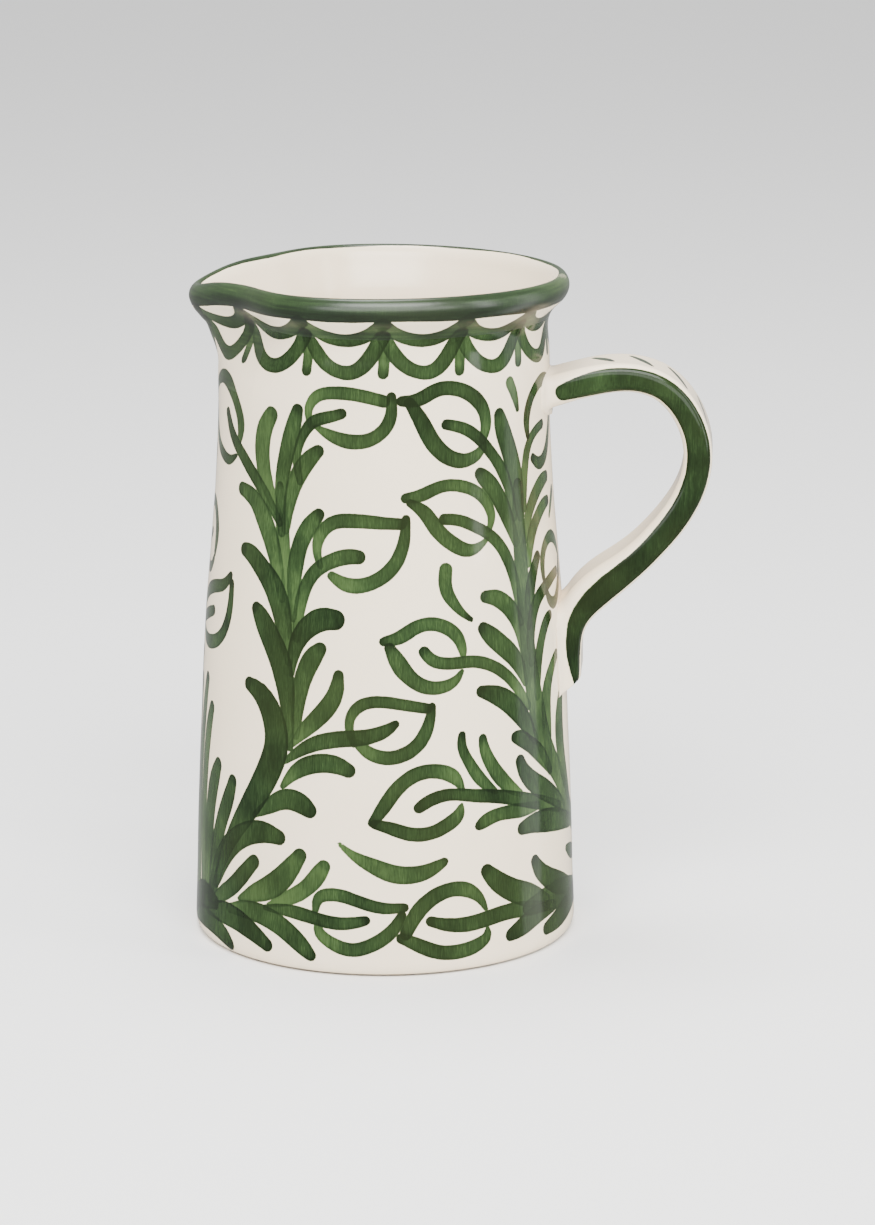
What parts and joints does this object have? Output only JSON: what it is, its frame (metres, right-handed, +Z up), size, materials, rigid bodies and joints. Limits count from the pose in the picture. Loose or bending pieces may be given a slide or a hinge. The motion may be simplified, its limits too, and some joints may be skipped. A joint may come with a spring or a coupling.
{
  "type": "ceramic pitcher",
  "caption": "Tall tapered glazed ceramic pitcher with a rolled rim, a pulled pouring spout, a strap handle and hand-painted leaf sprays.",
  "frame": {"origin": "centre of the resting face under the foot ring, on the pot's own axis", "axes": "+Z up the pot's axis; +X towards the handle; the spout points along -X"},
  "size_m": [0.1709, 0.1268, 0.22],
  "materials": {
    "painted_wall": "clear gloss glaze over an off-white body with green brushwork",
    "clear_glaze": "clear gloss glaze over an off-white body",
    "bare_clay": "unglazed fired clay, matt",
    "green_rim": "green underglaze brushed round the rim, under clear gloss glaze",
    "painted_handle": "off-white glazed strap with green bands along its sides"
  },
  "bodies": {
    "root": {"body_wall": "painted_wall", "floor_disc": "clear_glaze", "foot_ring": "bare_clay", "rim_roll": "green_rim", "spout_lip": "green_rim", "handle_strap": "painted_handle", "handle_upper_root": "painted_handle", "handle_lower_root": "painted_handle"}
  },
  "joints": []
}
